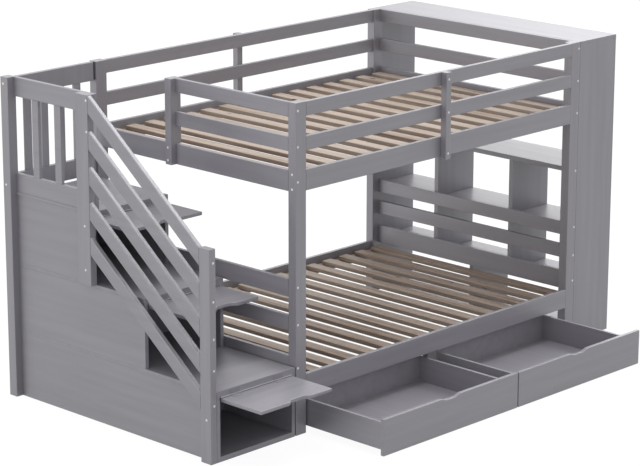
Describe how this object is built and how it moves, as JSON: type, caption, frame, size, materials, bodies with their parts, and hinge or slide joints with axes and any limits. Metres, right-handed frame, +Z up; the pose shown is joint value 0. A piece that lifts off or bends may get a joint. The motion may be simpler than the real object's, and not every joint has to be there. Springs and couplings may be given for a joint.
{
  "type": "bunk bed",
  "caption": "Painted wood bunk bed with a storage staircase, flap doors, roll-out drawers, guard rails, slatted decks and a bookshelf end.",
  "frame": {"origin": "on the floor under the middle of the outline, with the drawers pulled out and the flaps open", "axes": "+X along the bed from the staircase to the bookshelf, +Y from the drawer side to the rear, +Z up"},
  "size_m": [2.914, 1.928, 1.595],
  "materials": {
    "paint": "satin grey paint over wood",
    "pine": "bare sanded pine",
    "steel": "zinc plated",
    "plastic": "moulded"
  },
  "bodies": {
    "root": {"post_front_left": "paint", "post_front_right": "paint", "post_rear_left": "paint", "post_rear_right": "paint", "upper_side_rails": "paint", "lower_side_rails": "paint", "front_guard_rails": "paint", "rear_guard_rails": "paint", "front_batten": "paint", "rear_batten": "paint", "upper_end_rails": "paint", "left_end_guards": "paint", "right_end_guards": "paint", "entry_post": "paint", "footboard_rails": "paint", "headboard_rails": "paint", "upper_ledgers": "pine", "lower_ledgers": "pine", "upper_slats": "pine", "lower_slats": "pine", "stair_newel": "paint", "stair_mid_post": "paint", "stair_rear_post": "paint", "diagonal_rails": "paint", "side_guard": "paint", "rear_guard": "paint", "outer_panel_1": "paint", "outer_panel_2": "paint", "outer_panel_3": "paint", "inner_panel_1": "paint", "inner_panel_2": "paint", "inner_panel_3": "paint", "tread_1": "paint", "tread_2": "paint", "tread_3": "paint", "stair_bottom": "paint", "stair_backs": "paint", "stair_headers": "paint", "hinge_fixed_leaves": "steel", "hinge_pins": "steel", "shelf_sides": "paint", "shelf_top": "paint", "shelf_boards": "paint", "shelf_dividers": "paint"},
    "drawer_left": {"drawer_left_front": "paint", "drawer_left_box": "paint", "left_wheel_forks": "steel"},
    "drawer_right": {"drawer_right_front": "paint", "drawer_right_box": "paint", "right_wheel_forks": "steel"},
    "flap_1": {"flap_1": "paint", "flap_1_leaves": "steel"},
    "flap_2": {"flap_2": "paint", "flap_2_leaves": "steel"},
    "flap_3": {"flap_3": "paint", "flap_3_leaves": "steel"},
    "left_front_wheels": {"left_front_wheels": "plastic"},
    "left_rear_wheels": {"left_rear_wheels": "plastic"},
    "right_front_wheels": {"right_front_wheels": "plastic"},
    "right_rear_wheels": {"right_rear_wheels": "plastic"}
  },
  "joints": [
    {"name": "drawer_left_slide", "type": "slide", "parent": "root", "child": "drawer_left", "axis": [0, -1, 0], "range_m": [-0.49, 0.04]},
    {"name": "drawer_right_slide", "type": "slide", "parent": "root", "child": "drawer_right", "axis": [0, -1, 0], "range_m": [-0.49, 0.04]},
    {"name": "flap_1_hinge", "type": "hinge", "parent": "root", "child": "flap_1", "pos_m": [-1.1675, -0.4775, 0.3095], "axis": [1, 0, 0], "range_deg": [0, 90]},
    {"name": "flap_2_hinge", "type": "hinge", "parent": "root", "child": "flap_2", "pos_m": [-1.1675, -0.00041, 0.6495], "axis": [1, 0, 0], "range_deg": [0, 90]},
    {"name": "flap_3_hinge", "type": "hinge", "parent": "root", "child": "flap_3", "pos_m": [-1.1675, 0.3775, 0.9895], "axis": [1, 0, 0], "range_deg": [0, 90]},
    {"name": "left_front_wheels_spin", "type": "hinge", "parent": "drawer_left", "child": "left_front_wheels", "pos_m": [-0.397, -0.884, 0.0143], "axis": [1, 0, 0], "continuous": true},
    {"name": "left_rear_wheels_spin", "type": "hinge", "parent": "drawer_left", "child": "left_rear_wheels", "pos_m": [-0.397, -0.459, 0.0143], "axis": [1, 0, 0], "continuous": true},
    {"name": "right_front_wheels_spin", "type": "hinge", "parent": "drawer_right", "child": "right_front_wheels", "pos_m": [0.567, -0.884, 0.0143], "axis": [1, 0, 0], "continuous": true},
    {"name": "right_rear_wheels_spin", "type": "hinge", "parent": "drawer_right", "child": "right_rear_wheels", "pos_m": [0.567, -0.459, 0.0143], "axis": [1, 0, 0], "continuous": true}
  ],
  "couplings": [
    {"joint": "left_front_wheels_spin", "follows": "drawer_left_slide", "rad_per_m": 71.429},
    {"joint": "left_rear_wheels_spin", "follows": "drawer_left_slide", "rad_per_m": 71.429},
    {"joint": "right_front_wheels_spin", "follows": "drawer_right_slide", "rad_per_m": 71.429},
    {"joint": "right_rear_wheels_spin", "follows": "drawer_right_slide", "rad_per_m": 71.429}
  ]
}
